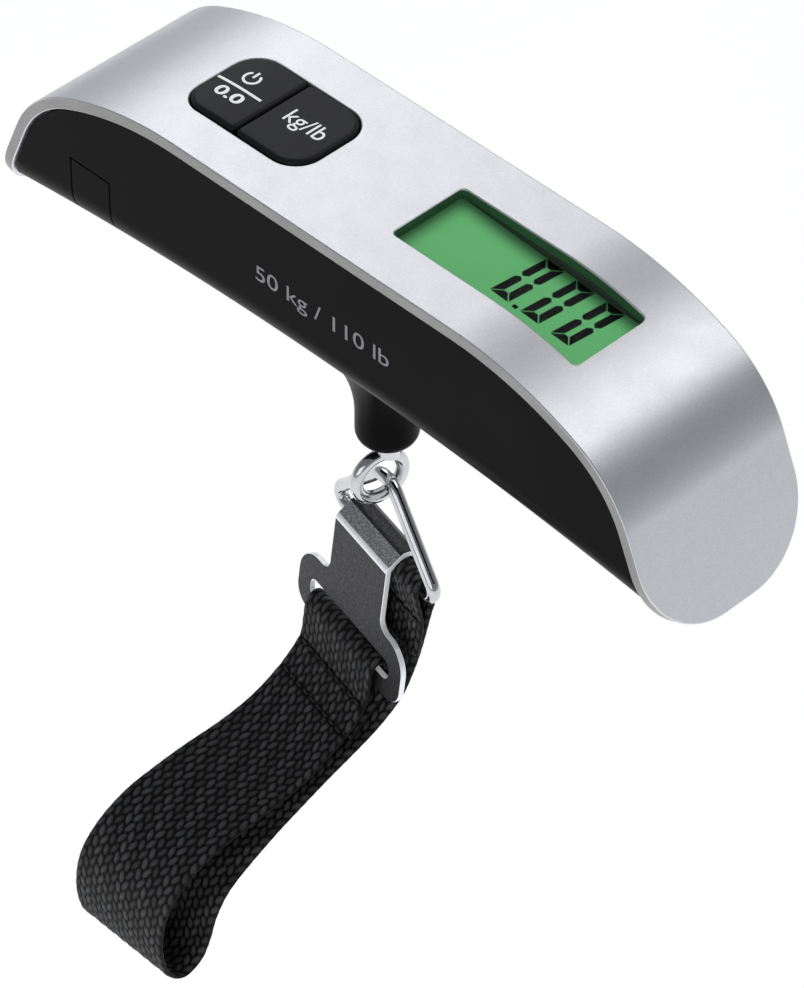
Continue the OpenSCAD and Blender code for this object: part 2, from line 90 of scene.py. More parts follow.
# Neck: straight near its rounded end, then a round flare and a cone; hollow above the shaft hole
NECK_Z = 50.5
NECK_R = 5.1
NECK_END_R = 2.4
NECK_TOP_Z = -26
NECK_WALL = 2.2
NECK_BORE = (-45, -24)
SHAFT_HOLE_R = 2.3
SHAFT_HOLE_TOP_Z = -42
FLARE_R = 24
FLARE_Z = -45
CONE_Z = -33

# Openings in the cover: start and end along the arch, half width, corner radius
WINDOW = (8.2, 45.9, 7.4, 1.0)
DIGIT_Z = -1.735
KEYS = (-37.4, -11.3, 8.3, 5.0)
KEY_SPLIT = -24.95
KEY_PROUD = 0.5
KEY_DEPTH = 3.4
KEY_EDGE_R = 0.75
KEY_GAP = 0.3
PRINT_HALF_T = 0.02

# Battery door: its middle, length, far edge and the length of its latch tab
DOOR = (-49, 24, 11, 8.5)
DOOR_GAP = 0.3
DOOR_NEAR_Y = -13
DOOR_TOP_Z = -24
TAB_Y = (-20, -12.4)
TAB_TOP_Z = -17.2

# Housing screws: their places, and the wells, bosses and clearance holes around them
SCREWS = [(-31, 11.3), (-31, -11.3), (56, 8), (56, -8)]
SCREW_SINK = 4.4
WELL_R = 2.7
BOSS_R = 3.6
BOSS_Z = (-35, -22)
SCREW_HOLE_R = 1.4
SCREW_HOLE_Z = (-30, -19)

# Hanging hardware: turned about the vertical as one
YAW = math.radians(-13)
BAR_Z = -74
CLIP_T = 1.1
CLIP_LEAN = math.radians(6.5)
HOOK_R = 2.45
STRAP_W = 20
STRAP_T = 1.0

# Route of the webbing's middle line, as in the part: [forward of the ring, height, sideways]
ROUTE = [
    (1.6, -87, 1.9), (1.0, -84, 1.9), (0.7, -80.5, 1.9), (1.3, -77, 1.9),
    (1.8, -74, 1.9), (1.27, -72.73, 1.9), (0, -72.2, 1.9), (-1.27, -72.73, 1.9),
    (-1.8, -74, 1.9), (-1.6, -76.5, 1.8), (-0.9, -80, 1.5), (-0.2, -84, 1.2),
    (0.6, -88.3, 0.8), (1.7, -92.8, 0.3), (3.0, -96.8, -0.2), (5.2, -100.2, -0.6),
    (8.2, -103.3, -0.8), (12.6, -106.8, -1), (17.6, -110.2, -1), (23, -113.7, -1),
    (28, -117, -1), (33, -121, -1), (37.2, -125.4, -1), (39.6, -130, -1),
    (40.9, -134.5, -1), (42.6, -138.4, -1), (45.6, -140.6, -1), (48.4, -138.6, -1),
    (49.6, -134, -1), (49.5, -129, -1), (48.4, -124.6, -1), (46.2, -121, -1),
    (43.2, -118, -1.1), (39.2, -115.3, -1.2), (34.4, -113.5, -1.4), (29, -111.7, -1.6),
    (23, -109.9, -1.8), (17.6, -107.3, -2), (12.3, -103.3, -2.3), (8.5, -99.2, -2.7),
    (7.5, -95.5, -3), (6.95, -92.4, -3.1), (5.4, -91, -3.1), (3.85, -92.4, -3.1),
    (3.9, -95.5, -3), (5.2, -98.6, -2.8), (7.4, -100.7, -2.6), (11.2, -104.4, -2.3),
]
SEAMS = (2, 38, 39)
STITCH_PITCH = 2


# ---------------------------------------------------------------- materials
def tree_of(name):
    """A new node material, its tree and its shader."""
    made = bpy.data.materials.new(name)
    made.use_nodes = True
    tree = made.node_tree
    return made, tree, tree.nodes["Principled BSDF"]


def add(tree, kind, **values):
    """A new node; each value sets an input of that name, or else a property."""
    node = tree.nodes.new(kind)
    for key, value in values.items():
        if key in node.inputs:
            node.inputs[key].default_value = value
        else:
            setattr(node, key, value)
    return node


def object_space(tree, stretch=(1, 1, 1)):
    coords = add(tree, "ShaderNodeTexCoord")
    mapping = add(tree, "ShaderNodeMapping")
    mapping.inputs["Scale"].default_value = stretch
    tree.links.new(coords.outputs["Object"], mapping.inputs["Vector"])
    return mapping.outputs["Vector"]


def noise(tree, scale, detail=4, stretch=(1, 1, 1)):
    node = add(tree, "ShaderNodeTexNoise", Scale=scale, Detail=detail)
    tree.links.new(object_space(tree, stretch), node.inputs["Vector"])
    return node.outputs["Fac"]


def ramp(tree, source, low, high, start=0.3, end=0.7):
    node = add(tree, "ShaderNodeValToRGB")
    node.color_ramp.elements[0].position = start
    node.color_ramp.elements[1].position = end
    node.color_ramp.elements[0].color = (*low, 1)
    node.color_ramp.elements[1].color = (*high, 1)
    tree.links.new(source, node.inputs["Fac"])
    return node.outputs["Color"]


def spread(tree, source, low, high):
    node = add(tree, "ShaderNodeMapRange")
    node.inputs["To Min"].default_value = low
    node.inputs["To Max"].default_value = high
    tree.links.new(source, node.inputs["Value"])
    return node.outputs["Result"]


def bump(tree, shader, source, strength, distance):
    node = add(tree, "ShaderNodeBump", Strength=strength, Distance=distance)
    tree.links.new(source, node.inputs["Height"])
    tree.links.new(node.outputs["Normal"], shader.inputs["Normal"])
    return node


def surface(name, low, high, rough, metal=0.0, grain=1500, relief=0.1, depth=0.02, stretch=(1, 1, 1),
            gloss=0.5, blotch=60, painted_glow=0.0):
    """A procedural finish: two close colours in soft patches, a fine grain and a varied gloss; a glow, when
    asked, makes the colour shine as painted light.
    """
    made, tree, shader = tree_of(name)
    shader.inputs["Metallic"].default_value = metal
    shader.inputs["Specular IOR Level"].default_value = gloss
    patches = noise(tree, blotch, 5)
    fine = noise(tree, grain, 3, stretch)
    tone = ramp(tree, patches, low, high)
    tree.links.new(tone, shader.inputs["Base Color"])
    # painted light: the colour also glows
    if painted_glow:
        tree.links.new(tone, shader.inputs["Emission Color"])
        shader.inputs["Emission Strength"].default_value = painted_glow
    tree.links.new(spread(tree, fine, rough[0], rough[1]), shader.inputs["Roughness"])
    bump(tree, shader, fine, relief, depth * MM)
    return made


def silver_paint():
    """Satin silver coat: fine metal flakes under a smooth lacquer."""
    made, tree, shader = tree_of("cover_silver")
    shader.inputs["Metallic"].default_value = 0.9
    flakes = add(tree, "ShaderNodeTexVoronoi", Scale=5200)
    tree.links.new(object_space(tree), flakes.inputs["Vector"])
    tone = ramp(tree, flakes.outputs["Color"], (0.74, 0.75, 0.775), (0.82, 0.83, 0.85), 0.1, 0.9)
    tree.links.new(tone, shader.inputs["Base Color"])
    haze = noise(tree, 220, 4)
    tree.links.new(spread(tree, haze, 0.37, 0.45), shader.inputs["Roughness"])
    bump(tree, shader, noise(tree, 3500, 2), 0.05, 0.004 * MM)
    return made


def display_green():
    """Lit liquid-crystal panel, with painted shade towards its far and left edges, standing for the shadow of
    the window's walls.
    """
    made, tree, shader = tree_of("display_green")
    place = add(tree, "ShaderNodeSeparateXYZ")
    coords = add(tree, "ShaderNodeTexCoord")
    tree.links.new(coords.outputs["Object"], place.inputs["Vector"])
    # painted shade: each edge ramps from dark at the window's wall to full green inside
    edges = []
    left, far = WINDOW[0], WINDOW[2]
    for axis, dark, light in (("X", left - 0.6, left + 3.4), ("Y", far + 0.6, far - 3.8)):
        shade = add(tree, "ShaderNodeMapRange", interpolation_type="SMOOTHSTEP")
        shade.inputs["From Min"].default_value = dark * MM
        shade.inputs["From Max"].default_value = light * MM
        tree.links.new(place.outputs[axis], shade.inputs["Value"])
        edges.append(shade.outputs["Result"])
    painted_wall_shade = add(tree, "ShaderNodeMath", operation="MULTIPLY")
    tree.links.new(edges[0], painted_wall_shade.inputs[0])
    tree.links.new(edges[1], painted_wall_shade.inputs[1])
    grain = add(tree, "ShaderNodeMath", operation="MULTIPLY")
    tree.links.new(painted_wall_shade.outputs["Value"], grain.inputs[0])
    tree.links.new(spread(tree, noise(tree, 90, 3), 0.92, 1.0), grain.inputs[1])
    tone = ramp(tree, grain.outputs["Value"], (0.026, 0.095, 0.036), (0.155, 0.58, 0.205), 0.0, 1.0)
    tree.links.new(tone, shader.inputs["Base Color"])
    tree.links.new(tone, shader.inputs["Emission Color"])
    shader.inputs["Emission Strength"].default_value = 0.42
    shader.inputs["Specular IOR Level"].default_value = 0.08
    tree.links.new(spread(tree, noise(tree, 2500, 2), 0.35, 0.45), shader.inputs["Roughness"])
    return made


def clear_window():
    made, tree, shader = tree_of("clear_window")
    shader.inputs["Base Color"].default_value = (0.02, 0.03, 0.02, 1)
    shader.inputs["Alpha"].default_value = 0.06
    tree.links.new(spread(tree, noise(tree, 300, 3), 0.03, 0.07), shader.inputs["Roughness"])
    return made


def webbing_black():
    """Woven polyester: fine filaments along each float, painted shade in the gaps between floats with lighter
    tops, a soft sheen.
    """
    made, tree, shader = tree_of("webbing_black")
    strands = add(tree, "ShaderNodeTexNoise", Scale=3000, Detail=3)
    tree.links.new(object_space(tree, (1, 1, 0.35)), strands.inputs["Vector"])
    # painted shade: float height times fibre noise sets the colour, dark in the gaps, lighter on the float
    # tops
    height = add(tree, "ShaderNodeAttribute", attribute_name="float_height")
    lit = add(tree, "ShaderNodeMath", operation="MULTIPLY")
    tree.links.new(height.outputs["Fac"], lit.inputs[0])
    tree.links.new(spread(tree, strands.outputs["Fac"], 0.45, 1.0), lit.inputs[1])
    tone = ramp(tree, lit.outputs["Value"], (0.0008, 0.0008, 0.0009), (0.150, 0.150, 0.153), 0.20, 0.98)
    tree.links.new(tone, shader.inputs["Base Color"])
    shader.inputs["Specular IOR Level"].default_value = 0.18
    shader.inputs["Sheen Weight"].default_value = 0.05
    shader.inputs["Sheen Roughness"].default_value = 0.5
    tree.links.new(spread(tree, strands.outputs["Fac"], 0.5, 0.75), shader.inputs["Roughness"])
    bump(tree, shader, strands.outputs["Fac"], 0.6, 0.08 * MM)
    return made


def bright_floor():
    """Pale paper sweep, lit from below as well, so that it stays near white."""
    made, tree, shader = tree_of("floor_white")
    tone = ramp(tree, noise(tree, 3, 3), (0.83, 0.83, 0.835), (0.86, 0.86, 0.865))
    tree.links.new(tone, shader.inputs["Base Color"])
    tree.links.new(tone, shader.inputs["Emission Color"])
    shader.inputs["Emission Strength"].default_value = 0.80
    tree.links.new(spread(tree, noise(tree, 900, 3), 0.75, 0.85), shader.inputs["Roughness"])
    return made


FINISHES = {
    "cover_silver": silver_paint(),
    "display_green": display_green(),
    "clear_window": clear_window(),
    "webbing_black": webbing_black(),
    "housing_black": surface("housing_black", (0.0030, 0.0026, 0.0030), (0.0052, 0.0046, 0.0056),
                             (0.30, 0.42), grain=3200, relief=0.10, depth=0.006, gloss=0.035),
    "inner_plastic": surface("inner_plastic", (0.060, 0.068, 0.062), (0.090, 0.100, 0.092), (0.5, 0.65)),
    "key_plastic": surface("key_plastic", (0.010, 0.0105, 0.013), (0.016, 0.0165, 0.020), (0.42, 0.52),
                           grain=3800, relief=0.12, depth=0.01, gloss=0.25),
    "light_guide": surface("light_guide", (0.62, 0.72, 0.60), (0.75, 0.84, 0.72), (0.3, 0.4)),
    "contact_rubber": surface("contact_rubber", (0.30, 0.16, 0.18), (0.38, 0.22, 0.24), (0.6, 0.75),
                              stretch=(12, 1, 1)),
    "board_green": surface("board_green", (0.012, 0.085, 0.035), (0.02, 0.13, 0.055), (0.3, 0.4), blotch=400),
    "chip_black": surface("chip_black", (0.012, 0.012, 0.013), (0.02, 0.02, 0.021), (0.45, 0.6)),
    "screw_steel": surface("screw_steel", (0.42, 0.42, 0.44), (0.56, 0.56, 0.58), (0.25, 0.4), metal=1.0,
                           stretch=(1, 1, 8)),
    "cell_aluminium": surface("cell_aluminium", (0.60, 0.61, 0.63), (0.72, 0.73, 0.75), (0.3, 0.45),
                              metal=1.0, stretch=(0.05, 1, 1)),
    "gauge_film": surface("gauge_film", (0.45, 0.20, 0.04), (0.60, 0.30, 0.07), (0.2, 0.3),
                          stretch=(1, 9, 1)),
    "wire_red": surface("wire_red", (0.35, 0.02, 0.02), (0.45, 0.03, 0.03), (0.4, 0.5)),
    "cell_steel": surface("cell_steel", (0.58, 0.59, 0.60), (0.68, 0.69, 0.70), (0.22, 0.34), metal=1.0),
    "contact_spring": surface("contact_spring", (0.55, 0.50, 0.38), (0.66, 0.61, 0.48), (0.25, 0.35),
                              metal=1.0),
    "bright_chrome": surface("bright_chrome", (0.60, 0.605, 0.615), (0.70, 0.705, 0.715), (0.05, 0.12),
                             metal=1.0, grain=900, relief=0.05, blotch=250),
    "washer_brass": surface("washer_brass", (0.55, 0.38, 0.14), (0.66, 0.48, 0.20), (0.25, 0.4), metal=1.0),
    "thread_black": surface("thread_black", (0.010, 0.010, 0.011), (0.03, 0.03, 0.032), (0.55, 0.7),
                            grain=5000, relief=0.5, depth=0.05),
    "clip_dark": surface("clip_dark", (0.028, 0.028, 0.029), (0.092, 0.092, 0.094), (0.38, 0.62), metal=0.75,
                         grain=2600, relief=0.7, depth=0.06, blotch=2400),
    # the hook's top behind the first bend: lighter grey in patches, painted light from above
    "clip_painted_light": surface("clip_painted_light", (0.20, 0.20, 0.202), (0.85, 0.85, 0.855), (0.30, 0.55), metal=0.8,
                         grain=2600, relief=0.7, depth=0.06, blotch=3600),
    # cut edges and the first bend: light grey with a glow, a painted highlight
    "clip_edge_painted_light": surface("clip_edge_painted_light", (0.80, 0.81, 0.82), (0.92, 0.93, 0.94), (0.30, 0.42), metal=0.45,
                         grain=1800, relief=0.15, painted_glow=0.22),
    # the window's inner walls: dark green with a green glow, painted shade and painted light from the display
    "window_wall_painted_shade": surface("window_wall_painted_shade", (0.024, 0.085, 0.034), (0.040, 0.125, 0.052), (0.5, 0.6), gloss=0.1,
                           painted_glow=0.2),
    # the cover's upright side band: a darker grey copy of the silver, painted shade
    "cover_edge_painted_shade": surface("cover_edge_painted_shade", (0.30, 0.295, 0.29), (0.40, 0.395, 0.39), (0.34, 0.46), metal=0.5,
                          stretch=(0.2, 1, 1)),
    # white print, also made to glow a little as painted light
    "print_white_painted_glow": surface("print_white_painted_glow", (0.84, 0.84, 0.84), (0.90, 0.90, 0.90), (0.4, 0.5), painted_glow=0.45),
    "print_grey": surface("print_grey", (0.26, 0.26, 0.28), (0.33, 0.33, 0.35), (0.45, 0.55)),
    "digit_black": surface("digit_black", (0.0008, 0.0012, 0.0008), (0.002, 0.003, 0.002), (0.5, 0.6),
                           gloss=0.02),
    "floor_white": bright_floor(),
}


# ---------------------------------------------------------------- mesh helpers
def add_object(name, mesh):
    obj = bpy.data.objects.new(name, mesh)
    scene.collection.objects.link(obj)
    return obj


def evaluated_mesh(obj):
    """The object's mesh with its modifiers applied; the object itself is removed."""
    graph = bpy.context.evaluated_depsgraph_get()
    mesh = bpy.data.meshes.new_from_object(obj.evaluated_get(graph))
    bpy.data.objects.remove(obj)
    return mesh


def piece(name, mesh, body, finishes, replaces=()):
    """A finished piece: rides on a body, takes its materials and stands for CAD nodes."""
    mesh.materials.clear()
    for finish in finishes:
        mesh.materials.append(FINISHES[finish])
    obj = add_object(name, mesh)
    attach(obj, body)
    if replaces:
        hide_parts(*replaces)
    return obj


def paint(obj, slots):
    """Gives each face of the piece its material slot."""
    for face, slot in zip(obj.data.polygons, slots):
        face.material_index = slot


def even_normals(mesh, angle=math.radians(32), bevel=0.0, segments=2):
    """Rounds sharp edges if asked, then shades so that large faces stay flat."""
    obj = add_object("shading", mesh)
    mesh.shade_smooth()
    if bevel:
        mod = obj.modifiers.new("bevel", "BEVEL")
        mod.width = bevel * MM
        mod.segments = segments
        mod.limit_method = "ANGLE"
        mod.angle_limit = angle
        mod.miter_outer = "MITER_ARC"
        mod.use_clamp_overlap = True
        mesh = evaluated_mesh(obj)
        obj = add_object("shading", mesh)
    mesh.set_sharp_from_angle(angle=angle)
    mod = obj.modifiers.new("normals", "WEIGHTED_NORMAL")
    mod.weight = 90
    mod.keep_sharp = True
    return evaluated_mesh(obj)


def rounded_rect(x0, x1, y0, y1, radii, steps=14):
    """Points around a rectangle, counter-clockwise; radii start at the corner (x1, y1)."""
    centres = [
        (x1 - radii[0], y1 - radii[0], 0), (x0 + radii[1], y1 - radii[1], 90),
        (x0 + radii[2], y0 + radii[2], 180), (x1 - radii[3], y0 + radii[3], 270),
    ]
    points = []
    for (cx, cy, start), r in zip(centres, radii):
        for i in range(steps + 1):
            a = math.radians(start + 90 * i / steps)
            points.append((cx + r * math.cos(a), cy + r * math.sin(a)))
    return points


def plate(loops, thickness, edge, segments=3):
    """A flat plate, in millimetres, with rounded edges; loops after the first are holes."""
    curve = bpy.data.curves.new("plate", "CURVE")
    curve.dimensions = "2D"
    curve.fill_mode = "BOTH"
    curve.extrude = thickness / 2 - edge
    curve.bevel_depth = edge
    curve.bevel_resolution = segments
    curve.offset = -edge
    for i, loop in enumerate(loops):
        spline = curve.splines.new("POLY")
        spline.points.add(len(loop) - 1)
        ordered = loop if i == 0 else loop[::-1]
        for point, (x, y) in zip(spline.points, ordered):
            point.co = (x, y, 0, 1)
        spline.use_cyclic_u = True
    mesh = evaluated_mesh(add_object("plate", curve))
    work = bmesh.new()
    work.from_mesh(mesh)
    bmesh.ops.remove_doubles(work, verts=work.verts, dist=0.0005)
    work.to_mesh(mesh)
    work.free()
    return mesh


def sliced(mesh, stations, axis=0):
    """Cuts the mesh across at each station so that it can bend there."""
    normal = [0, 0, 0]
    normal[axis] = 1
    work = bmesh.new()
    work.from_mesh(mesh)
    for at in stations:
        point = [0, 0, 0]
        point[axis] = at
        parts = work.verts[:] + work.edges[:] + work.faces[:]
        bmesh.ops.bisect_plane(work, geom=parts, dist=1e-4, plane_co=point, plane_no=normal)
    work.to_mesh(mesh)
    work.free()
    return mesh


def mapped(mesh, place):
    """Bends a flat plate: place(x, y, z) gives the point in metres and the turn of its normal."""
    mesh = even_normals(mesh)
    normals = [Vector(n.vector) for n in mesh.corner_normals]
    corners = [c.vertex_index for c in mesh.loops]
    turns = []
    for vertex in mesh.vertices:
        point, turn = place(*vertex.co)
        vertex.co = point
        turns.append(turn)
    mesh.update()
    mesh.normals_split_custom_set([turns[v] @ n for v, n in zip(corners, normals)])
    return mesh


def arch(s, depth=0.0):
    """Point and slope of the arch, in millimetres, at arc length s from its middle."""
    side = 1 if s >= 0 else -1
    run = abs(s)
    end1 = FLAT + BEND1_R * BEND1_A
    end2 = end1 + BEND2_R * BEND2_A
    between = BEND1_R - BEND2_R
    centre2 = (FLAT + between * math.sin(BEND1_A), -BEND1_R + between * math.cos(BEND1_A))
    if run <= FLAT:
        x, z, a = run, 0.0, 0.0
    elif run <= end1:
        a = (run - FLAT) / BEND1_R
        x, z = FLAT + BEND1_R * math.sin(a), -BEND1_R + BEND1_R * math.cos(a)
    else:
        a = BEND1_A + (min(run, end2) - end1) / BEND2_R
        x, z = centre2[0] + BEND2_R * math.sin(a), centre2[1] + BEND2_R * math.cos(a)
        past = max(0.0, run - end2)
        x, z = x + past * math.cos(a), z - past * math.sin(a)
    return side * (x - depth * math.sin(a)), z - depth * math.cos(a), side * a


def on_arch(drop):
    """Places a plate whose top face lies at z = drop in its own flat drawing."""
    def place(s, y, z):
        x, height, a = arch(s, drop - z)
        return Vector((x * MM, y * MM, height * MM)), Matrix.Rotation(a, 3, "Y")
    return place


def bend_stations():
    end1 = FLAT + BEND1_R * BEND1_A
    end2 = end1 + BEND2_R * BEND2_A
    cuts = [FLAT + (end1 - FLAT) * i / 22 for i in range(23)]
    cuts += [end1 + (end2 - end1) * i / 32 for i in range(1, 33)]
    return cuts + [-c for c in cuts]


def prism(points, low, high, axis="Z"):
    """A solid with the given outline, in millimetres, between two levels along an axis."""
    work = bmesh.new()
    orders = {"Z": lambda a, b, c: (a, b, c), "Y": lambda a, b, c: (a, c, b)}
    put = orders[axis]
    rings = [[work.verts.new(put(a, b, level)) for a, b in points] for level in (low, high)]
    work.faces.new(rings[0][::-1])
    work.faces.new(rings[1])
    n = len(points)
    for i in range(n):
        work.faces.new((rings[0][i], rings[0][(i + 1) % n], rings[1][(i + 1) % n], rings[1][i]))
    bmesh.ops.recalc_face_normals(work, faces=work.faces)
    mesh = bpy.data.meshes.new("prism")
    work.to_mesh(mesh)
    work.free()
    return mesh


def lofted(rings):
    """A solid through rings of points, each ring closed on itself, with flat ends."""
    work = bmesh.new()
    made = [[work.verts.new(p) for p in ring] for ring in rings]
    n = len(rings[0])
    for a, b in zip(made, made[1:]):
        for i in range(n):
            work.faces.new((a[i], a[(i + 1) % n], b[(i + 1) % n], b[i]))
    work.faces.new(made[0][::-1])
    work.faces.new(made[-1])
    bmesh.ops.recalc_face_normals(work, faces=work.faces)
    mesh = bpy.data.meshes.new("loft")
    work.to_mesh(mesh)
    work.free()
    return mesh


def combined(mesh, other, operation):
    a = add_object("a", mesh)
    b = add_object("b", other)
    mod = a.modifiers.new("cut", "BOOLEAN")
    mod.operation = operation
    mod.solver = "EXACT"
    mod.object = b
    result = evaluated_mesh(a)
    bpy.data.objects.remove(b)
    return result


def drum(x, y, r, low, high, steps=40):
    ring = [(x + r * math.cos(2 * math.pi * i / steps), y + r * math.sin(2 * math.pi * i / steps))
            for i in range(steps)]
    return prism(ring, low, high)


def box(x0, x1, y0, y1, z0, z1):
    return prism([(x0, y0), (x1, y0), (x1, y1), (x0, y1)], z0, z1)


def to_metres(mesh):
    mesh.transform(Matrix.Scale(MM, 4))
    return mesh


# ---------------------------------------------------------------- cover, keys and display
def top_cover():
    outline = rounded_rect(-HALF_ARC, HALF_ARC, -COVER_W / 2, COVER_W / 2, [TONGUE_R] * 4, 36)
    s0, s1, half, r = WINDOW
    window = rounded_rect(s0, s1, -half, half, [r] * 4, 8)
    k0, k1, key_half, key_r = KEYS
    keys = rounded_rect(k0, k1, -key_half, key_half, [key_r] * 4, 18)
    flat = plate([outline, window, keys], COVER_T, COVER_EDGE_R)
    flat.transform(Matrix.Translation((0, 0, -COVER_T / 2)))
    flat = sliced(flat, bend_stations())
    slots = []
    for face in flat.polygons:
        upright = abs(face.normal.z) < 0.25
        # slot 1: the window's inner walls, painted shade
        framed = s0 - 0.5 < face.center.x < s1 + 0.5 and abs(face.center.y) < half + 0.5
        # slot 2: the upright side band, painted shade; slot 0: the silver top
        slots.append(1 if upright and framed else 2 if upright else 0)
    finishes = ["cover_silver", "window_wall_painted_shade", "cover_edge_painted_shade"]
    obj = piece("silver_cover", mapped(flat, on_arch(0)), "housing", finishes, ["top_cover"])
    paint(obj, slots)


def key(name, s0, s1, outer_left, body, node):
    k_half = KEYS[2] - KEY_GAP
    big, small = KEYS[3] - KEY_GAP, 1.1
    radii = [small, big, big, small] if outer_left else [big, small, small, big]
    height = KEY_PROUD + KEY_DEPTH
    flat = plate([rounded_rect(s0, s1, -k_half, k_half, radii, 14)], height, KEY_EDGE_R, 5)
    flat.transform(Matrix.Translation((0, 0, KEY_PROUD - height / 2)))
    mesh = mapped(sliced(flat, [c for c in bend_stations() if s0 < c < s1]), on_arch(0))
    return piece(name, mesh, body, ["key_plastic"], [node])


def words(text, size, stretch=1.0, weight=0.0):
    """Generic characters as a flat mesh, in millimetres, centred on their middle."""
    curve = bpy.data.curves.new("words", "FONT")
    curve.body = text
    curve.size = size
    curve.offset = weight
    curve.align_x = "CENTER"
    curve.align_y = "CENTER"
    curve.extrude = PRINT_HALF_T
    mesh = evaluated_mesh(add_object("words", curve))
    mesh.transform(Matrix.Diagonal((stretch, 1, 1, 1)))
    return mesh


def strip(x0, x1, y0, y1):
    return prism([(x0, y0), (x1, y0), (x1, y1), (x0, y1)], -PRINT_HALF_T, PRINT_HALF_T)


def power_mark(r=1.35, width=0.42):
    """A broken circle with a stroke through the break."""
    inner, outer, half_break = r - width / 2, r + width / 2, 38
    turn = [math.radians(90 + half_break + (360 - 2 * half_break) * i / 32) for i in range(33)]
    loop = [(outer * math.cos(a), outer * math.sin(a)) for a in turn]
    loop += [(inner * math.cos(a), inner * math.sin(a)) for a in reversed(turn)]
    return [prism(loop, -PRINT_HALF_T, PRINT_HALF_T), strip(-width / 2, width / 2, 0.15, r + 0.35)]


def joined(meshes):
    work = bmesh.new()
    for mesh in meshes:
        work.from_mesh(mesh)
    result = bpy.data.meshes.new("joined")
    work.to_mesh(result)
    work.free()
    return result


def print_on_key(name, meshes, s, y, body):
    """Printed marks that follow the key's curved top."""
    mesh = joined(meshes)
    mesh.transform(Matrix.Translation((s, y, KEY_PROUD + PRINT_HALF_T)))
    mesh = sliced(mesh, [c for c in bend_stations() if KEYS[0] < c < KEYS[1]])
    return piece(name, mapped(mesh, on_arch(0)), body, ["print_white_painted_glow"])


def digit_strokes(w, h, t, gap):
    """The six strokes of a zero, mitred at the corners and pointed where the uprights meet."""
    half = [
        [(gap, h), (w - gap, h), (w - gap - t, h - t), (gap + t, h - t)],
        [(0, h - gap), (t, h - gap - t), (t, h / 2 + t / 2), (t / 2, h / 2 + gap), (0, h / 2 + t / 2)],
        [(w, h - gap), (w, h / 2 + t / 2), (w - t / 2, h / 2 + gap), (w - t, h / 2 + t / 2),
         (w - t, h - gap - t)],
    ]
    return half + [[(x, h - y) for x, y in stroke] for stroke in half]


def display_digits():
    s0, s1 = WINDOW[0], WINDOW[1]
    drop = BEND1_R - math.sqrt(BEND1_R**2 - (s1 - FLAT) ** 2)
    tilt = math.asin(drop / (s1 - s0))
    middle = Vector((s0 + (s1 - s0) * math.cos(tilt) / 2, 0, -drop / 2))
    width, height, slant, pitch, first, base = 3.75, 10.9, 0.091, 6.13, -2.1, -3.75
    thick, gap = 1.38, 0.12
    point_x, point_low, point_high = (2.55, 3.4), base - 0.25, base + 0.45
    meshes = []
    for i in range(3):
        for stroke in digit_strokes(width, height, thick, gap):
            points = [(first + pitch * i + x + slant * y, base + y) for x, y in stroke]
            meshes.append(prism(points, -0.01, 0.01))
    meshes.append(strip(*point_x, point_low, point_high))
    mesh = joined(meshes)
    sunk = Matrix.Translation((0, 0, DIGIT_Z))
    mesh.transform(Matrix.Translation(middle) @ Matrix.Rotation(tilt, 4, "Y") @ sunk)
    return piece("display_digits", to_metres(even_normals(mesh)), "housing", ["digit_black"])


# ---------------------------------------------------------------- housing and door
def tongue_prism(inset):
    """The end cut: a long prism square to one tongue, as wide as the housing."""
    a = BEND1_A + BEND2_A
    tip_x, tip_z = arch(HALF_ARC)[:2]
    r, square = TONGUE_R - inset, 0.01
    half = COVER_W / 2 - inset
    far_end, low, high = -140, -150, 25
    outline = rounded_rect(far_end, -inset, -half, half, [r, square, square, r], 30)
    mesh = prism(outline, low, high)
    mesh.transform(Matrix.Translation((tip_x, 0, tip_z)) @ Matrix.Rotation(a, 4, "Y"))
    return mesh


def under_arch(depth):
    """All that lies this far below the arch: wider, longer and deeper than the housing."""
    reach, half_w, low = HALF_ARC * 1.06, 20.3, -75
    line = [arch(reach * i / 150, depth)[:2] for i in range(-150, 151)]
    foot = line[-1][0]
    return prism(line[::-1] + [(-foot, low), (foot, low)], -half_w, half_w, "Y")


def trough(inset):
    """Follows the arched underside with rounded long edges."""
    half = COVER_W / 2 - HOUSING_INSET - inset
    r = EDGE_R - inset
    half_length, rim, steps = 80, 15, 42
    rings = []
    for i in range(-steps, steps + 1):
        x = half_length * i / steps
        low = -BELLY_Z + inset - (BELLY_R - math.sqrt(BELLY_R**2 - x * x))
        ring = [(half, rim)]
        turn = [math.radians(-90 * k / 14) for k in range(15)]
        ring += [(half - r + r * math.cos(a), low + r + r * math.sin(a)) for a in turn]
        ring += [(-y, z) for y, z in reversed(ring)]
        rings.append([(x, y, z) for y, z in ring])
    return lofted(rings)


def housing_solid(inset, lift=0.0):
    """The housing's outer form, shrunk by inset and raised by lift where it meets the cover."""
    mesh = combined(trough(inset), under_arch(COVER_T + SHADOW_GAP - lift), "INTERSECT")
    for turn in (0, 180):
        end = tongue_prism(HOUSING_INSET + inset - 0.05)
        end.transform(Matrix.Rotation(math.radians(turn), 4, "Z"))
        mesh = combined(mesh, end, "INTERSECT")
    return mesh


def turned(profile, steps=96):
    """A solid of revolution about Z from (radius, height) points, lowest first."""
    rings = []
    for r, z in profile:
        rings.append([(r * math.cos(2 * math.pi * i / steps), r * math.sin(2 * math.pi * i / steps), z)
                      for i in range(steps)])
    return lofted(rings)


